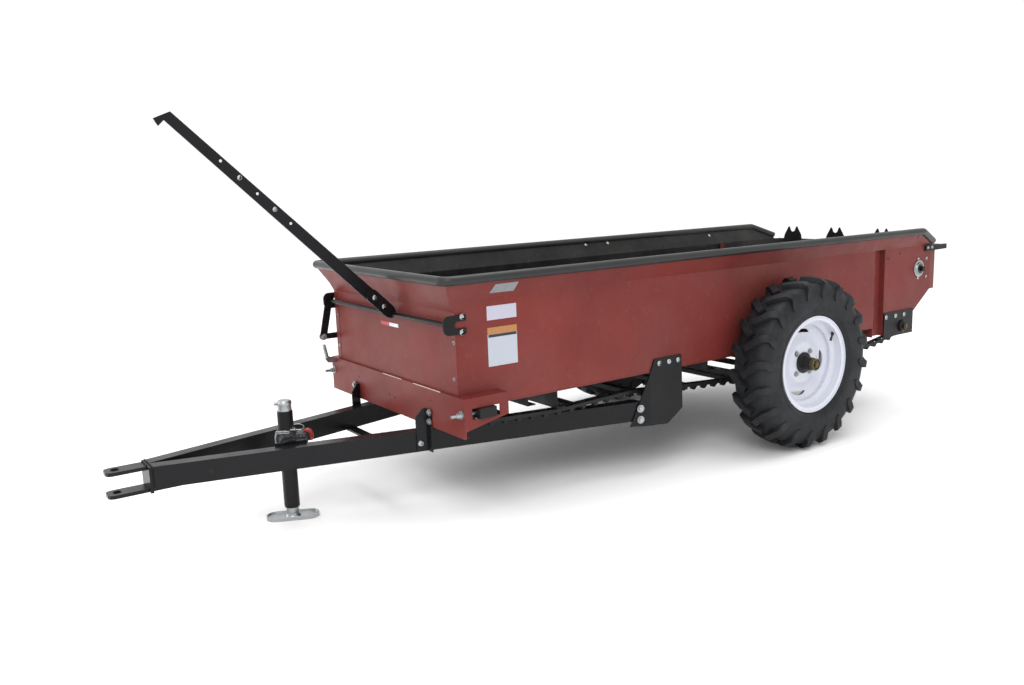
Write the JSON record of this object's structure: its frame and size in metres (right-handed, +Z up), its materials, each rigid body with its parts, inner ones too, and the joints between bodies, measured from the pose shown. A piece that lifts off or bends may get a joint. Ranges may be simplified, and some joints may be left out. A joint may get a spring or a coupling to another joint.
{
  "type": "towed manure spreader",
  "caption": "Towed box spreader with apron conveyor, toothed rear beater, ground-drive wheels, hand lever and swivel drawbar jack.",
  "frame": {"origin": "on the ground, at the middle of the whole machine in length and width", "axes": "+X to the left of the machine seen from behind towards the hitch, +Y to the rear, +Z up; the drawbar points along -Y"},
  "size_m": [1.412, 3.99, 1.4362],
  "materials": {
    "red_paint": "semi-gloss oxide red",
    "black_paint": "semi-gloss black",
    "white_paint": "gloss white",
    "tyre_rubber": "matt rubber",
    "zinc": "zinc plated",
    "dark_steel": "dark steel, satin",
    "cast_grey": "grey cast, painted",
    "floor_board": "dark stained board"
  },
  "bodies": {
    "chassis": {"side_panel_left": "red_paint", "side_panel_right": "red_paint", "rear_side_panel_left": "red_paint", "rear_side_panel_right": "red_paint", "front_panel": "red_paint", "lower_front_plate": "red_paint", "floor": "floor_board", "rim_rail_left": "dark_steel", "rim_rail_right": "dark_steel", "rim_rail_front": "dark_steel", "crossmember_front": "black_paint", "crossmember_second": "black_paint", "crossmember_middle": "black_paint", "crossmember_rear": "red_paint", "axle": "black_paint", "drawbar_beam_left": "black_paint", "drawbar_beam_right": "black_paint", "hitch_clevis": "black_paint", "drawbar_brace": "black_paint", "drawbar_strap_left": "black_paint", "drawbar_strap_right": "black_paint", "drawbar_side_plate_left": "black_paint", "drawbar_side_plate_right": "black_paint", "shaft_bearing_plate_left": "black_paint", "shaft_bearing_plate_right": "black_paint", "apron_front_shaft": "dark_steel", "apron_rear_shaft": "dark_steel", "apron_chain": "dark_steel", "beater_bearing_left": "zinc", "beater_bearing_right": "zinc", "tail_bar": "black_paint", "drive_guard": "black_paint", "rod_bracket_left": "black_paint", "rod_bracket_right": "black_paint", "crank_stop": "zinc", "jack_socket": "black_paint"},
    "wheel_left": {"tyre_left": "tyre_rubber", "wheel_rim_left": "white_paint", "hub_left": "dark_steel"},
    "wheel_right": {"tyre_right": "tyre_rubber", "wheel_rim_right": "white_paint", "hub_right": "dark_steel"},
    "beater_rotor": {"beater": "black_paint"},
    "lever": {"control_rod": "dark_steel", "hand_lever": "black_paint"},
    "clutch_link": {"clutch_link": "black_paint"},
    "clutch_arm": {"clutch_arm": "black_paint"},
    "jack": {"jack_tube": "black_paint", "jack_collar": "cast_grey"},
    "jack_leg": {"jack_leg": "zinc"}
  },
  "joints": [
    {"name": "wheel_left_spin", "type": "hinge", "parent": "chassis", "child": "wheel_left", "pos_m": [0.615, 0.701, 0.37], "axis": [1, 0, 0], "continuous": true},
    {"name": "wheel_right_spin", "type": "hinge", "parent": "chassis", "child": "wheel_right", "pos_m": [-0.615, 0.701, 0.37], "axis": [1, 0, 0], "continuous": true},
    {"name": "beater_spin", "type": "hinge", "parent": "chassis", "child": "beater_rotor", "pos_m": [0, 1.764, 0.678], "axis": [1, 0, 0], "continuous": true},
    {"name": "hand_lever", "type": "hinge", "parent": "chassis", "child": "lever", "pos_m": [0, -0.967, 0.714], "axis": [1, 0, 0], "range_deg": [0, 20]},
    {"name": "clutch_link_swing", "type": "hinge", "parent": "lever", "child": "clutch_link", "pos_m": [0, -1.002, 0.562], "axis": [1, 0, 0], "range_deg": [-20, 0]},
    {"name": "clutch_arm_swing", "type": "hinge", "parent": "chassis", "child": "clutch_arm", "pos_m": [0, 0.541, 0.714], "axis": [1, 0, 0], "range_deg": [0, 20]},
    {"name": "jack_swing", "type": "hinge", "parent": "chassis", "child": "jack", "pos_m": [0, -1.379, 0.29], "axis": [0.9714, -0.2374, 0], "range_deg": [0, 90]},
    {"name": "jack_leg_slide", "type": "slide", "parent": "jack", "child": "jack_leg", "axis": [0, 0, -1], "range_m": [0, 0.25]}
  ],
  "couplings": [
    {"joint": "clutch_link_swing", "follows": "hand_lever", "ratio": -1},
    {"joint": "clutch_arm_swing", "follows": "hand_lever", "ratio": 1}
  ]
}
